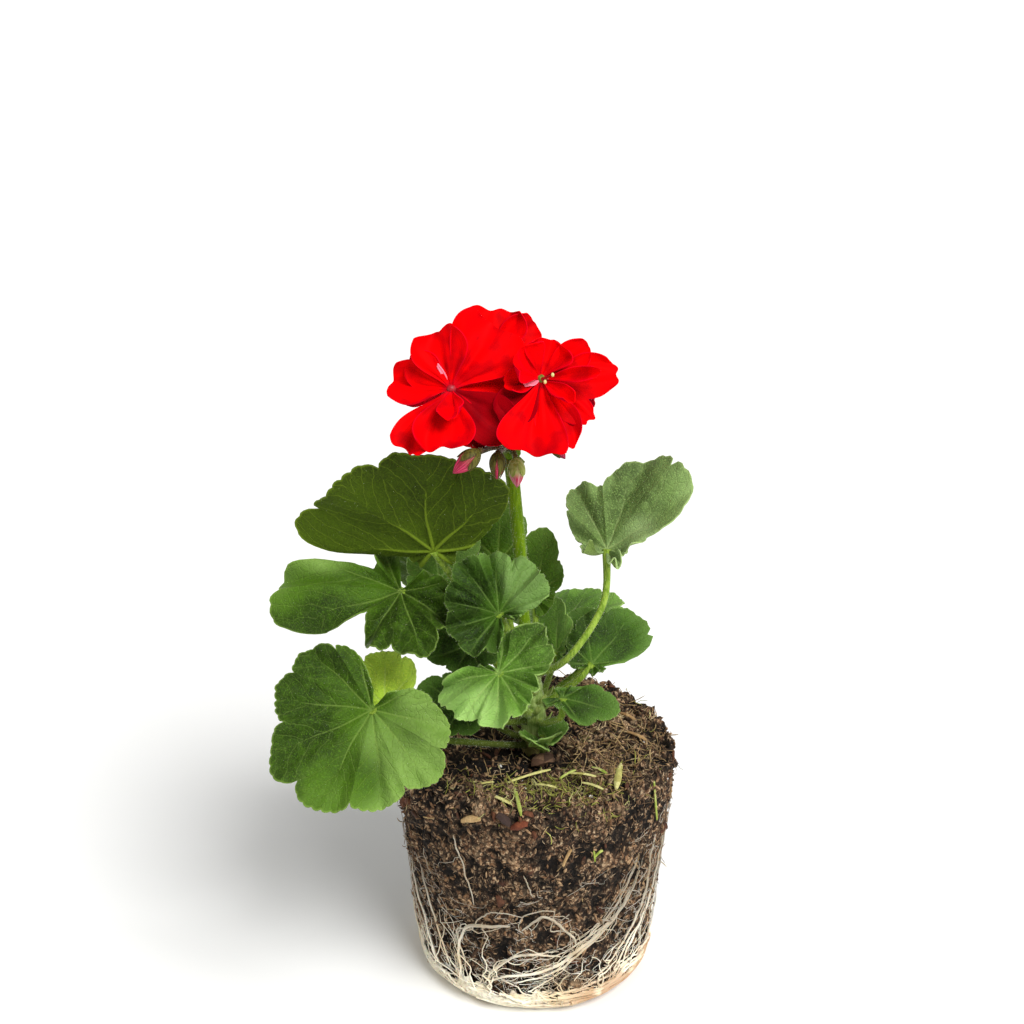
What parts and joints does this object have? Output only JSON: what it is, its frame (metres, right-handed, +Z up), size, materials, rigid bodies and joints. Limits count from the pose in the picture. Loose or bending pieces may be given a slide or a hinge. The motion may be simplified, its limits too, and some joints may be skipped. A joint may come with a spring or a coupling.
{
  "type": "zonal pelargonium with bare root ball",
  "caption": "Young zonal pelargonium with a head of scarlet flowers, lobed leaves and a bare, pot-shaped root ball.",
  "frame": {"origin": "middle of the root ball's flat bottom face", "axes": "+Z up along the plant, +X to the right and -Y towards the viewer of the plant's front"},
  "size_m": [0.1423, 0.135, 0.255],
  "materials": {
    "soil": "dark brown peat with bark, matt and crumbly",
    "root": "cream to straw, silky where clean, tan where soiled",
    "stem": "pale green, downy",
    "stalk": "fresh green, downy, slightly shiny",
    "leaf": "mid green, downy satin",
    "young_leaf": "light yellow-green, downy",
    "petal": "scarlet, velvety, slightly translucent",
    "bud": "olive-green sepals, with a pink tip where the petals show"
  },
  "bodies": {
    "root": {"soil_ball": "soil", "root_net": "root", "stem": "stem", "flower_stalk": "stalk", "umbel_stalks": "stalk", "basal_shoot": "young_leaf", "leaf_front_left_low": "leaf", "leaf_left_middle": "leaf", "leaf_left_upright": "leaf", "leaf_centre_dark": "leaf", "leaf_front_bright": "young_leaf", "leaf_left_young": "young_leaf", "leaf_right_low": "leaf", "leaf_right_shade": "leaf", "leaf_right_ground": "leaf", "leaf_right_tall": "leaf", "leaf_right_small": "young_leaf", "leaf_shade_front": "leaf", "leaf_shade_middle": "leaf", "leaf_pale_behind": "leaf", "leaf_behind_centre": "leaf", "leaf_behind_right": "leaf", "leaf_back_left": "leaf", "leaf_back_right": "leaf", "leaf_back_ground": "leaf", "floret_left": "petal", "floret_top": "petal", "floret_right": "petal", "floret_back_right": "petal", "floret_back_left": "petal", "floret_back": "petal", "bud_left": "bud", "bud_middle": "bud", "bud_hanging": "bud", "bud_right": "bud", "bud_back": "bud"}
  },
  "joints": []
}
